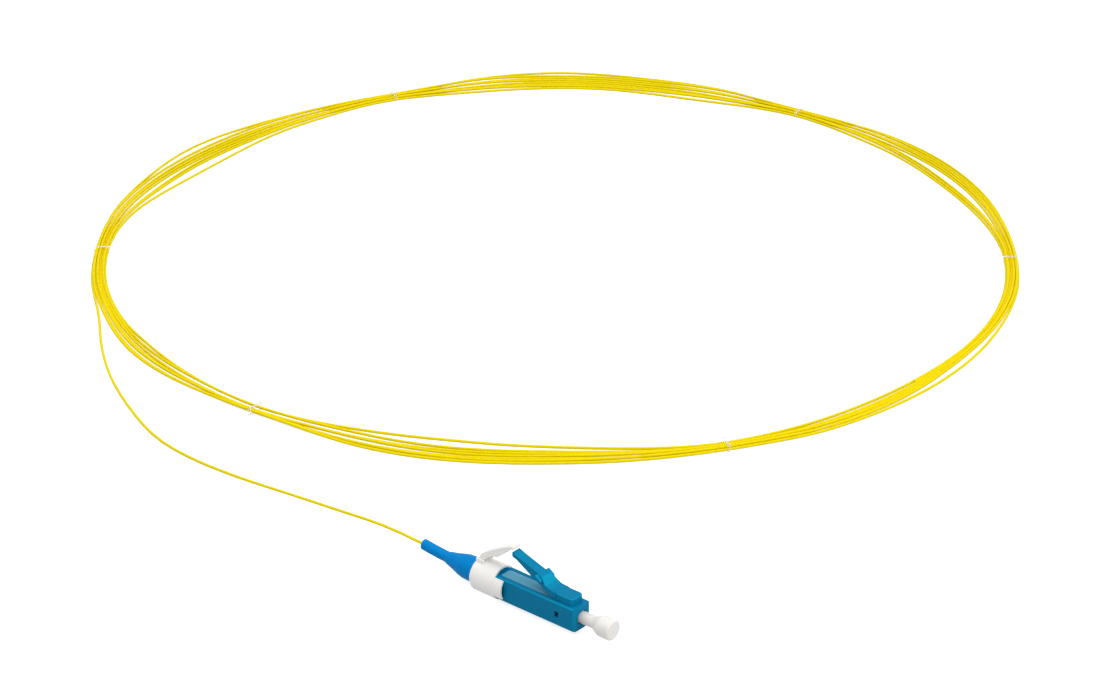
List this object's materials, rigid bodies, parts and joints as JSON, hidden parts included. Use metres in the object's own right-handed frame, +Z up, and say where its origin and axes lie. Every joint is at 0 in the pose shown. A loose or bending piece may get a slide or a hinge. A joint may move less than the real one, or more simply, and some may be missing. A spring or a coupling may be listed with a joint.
{
  "type": "fibre pigtail",
  "caption": "Fibre pigtail: square latching plug with clip, trigger arm, boot and dust cap, on a long yellow buffered fibre in a loose tied coil.",
  "frame": {"origin": "on the floor under the middle of the plug assembly, cord left out", "axes": "+X along the plug's axis towards the ferrule tip, +Z up"},
  "size_m": [0.221, 0.2272, 0.0119],
  "materials": {
    "housing_plastic": "moulded, satin",
    "clip_plastic": "moulded, satin white",
    "boot_rubber": "smooth soft rubber",
    "stop_plastic": "moulded",
    "ceramic": "polished zirconia",
    "flange_metal": "nickel-plated, turned",
    "spring_steel": "drawn wire",
    "tube_plastic": "extruded",
    "cap_plastic": "soft translucent white",
    "glass_core": "bare glass",
    "fibre_jacket": "smooth extruded yellow jacket",
    "tie_plastic": "thin clear film"
  },
  "bodies": {
    "plug": {"plug_housing": "housing_plastic", "clip_hood": "clip_plastic", "boot": "boot_rubber", "rear_body": "stop_plastic", "spring": "spring_steel", "guide_tube": "tube_plastic", "inner_fibre": "fibre_jacket", "fibre_lead": "fibre_jacket", "fibre_coil": "fibre_jacket", "coil_tie_1": "tie_plastic", "coil_tie_2": "tie_plastic", "coil_tie_3": "tie_plastic", "coil_tie_4": "tie_plastic", "coil_tie_5": "tie_plastic", "coil_tie_6": "tie_plastic"},
    "latch": {"latch_lever": "housing_plastic"},
    "trigger": {"trigger_arm": "clip_plastic"},
    "ferrule_unit": {"ferrule": "ceramic", "ferrule_flange": "flange_metal", "glass_fibre": "glass_core"},
    "cap": {"dust_cap": "cap_plastic"}
  },
  "joints": [
    {"name": "trigger_press", "type": "hinge", "parent": "plug", "child": "trigger", "pos_m": [-0.00754, 0, 0.0067], "axis": [0, 1, 0], "range_deg": [0, 19.5], "stiffness_Nm_per_rad": 0.0001},
    {"name": "latch_press", "type": "hinge", "parent": "plug", "child": "latch", "pos_m": [0.01051, 0, 0.00617], "axis": [0, -1, 0], "range_deg": [0, 15.2], "stiffness_Nm_per_rad": 0.0005},
    {"name": "ferrule_float", "type": "slide", "parent": "plug", "child": "ferrule_unit", "axis": [-1, 0, 0], "range_m": [0, 0.001], "stiffness_N_per_m": 800, "deforming": ["spring"]},
    {"name": "dust_cap_pull", "type": "slide", "parent": "ferrule_unit", "child": "cap", "axis": [1, 0, 0], "range_m": [0, 0.008]}
  ],
  "couplings": [
    {"joint": "trigger_press", "follows": "latch_press", "ratio": 1.25}
  ]
}
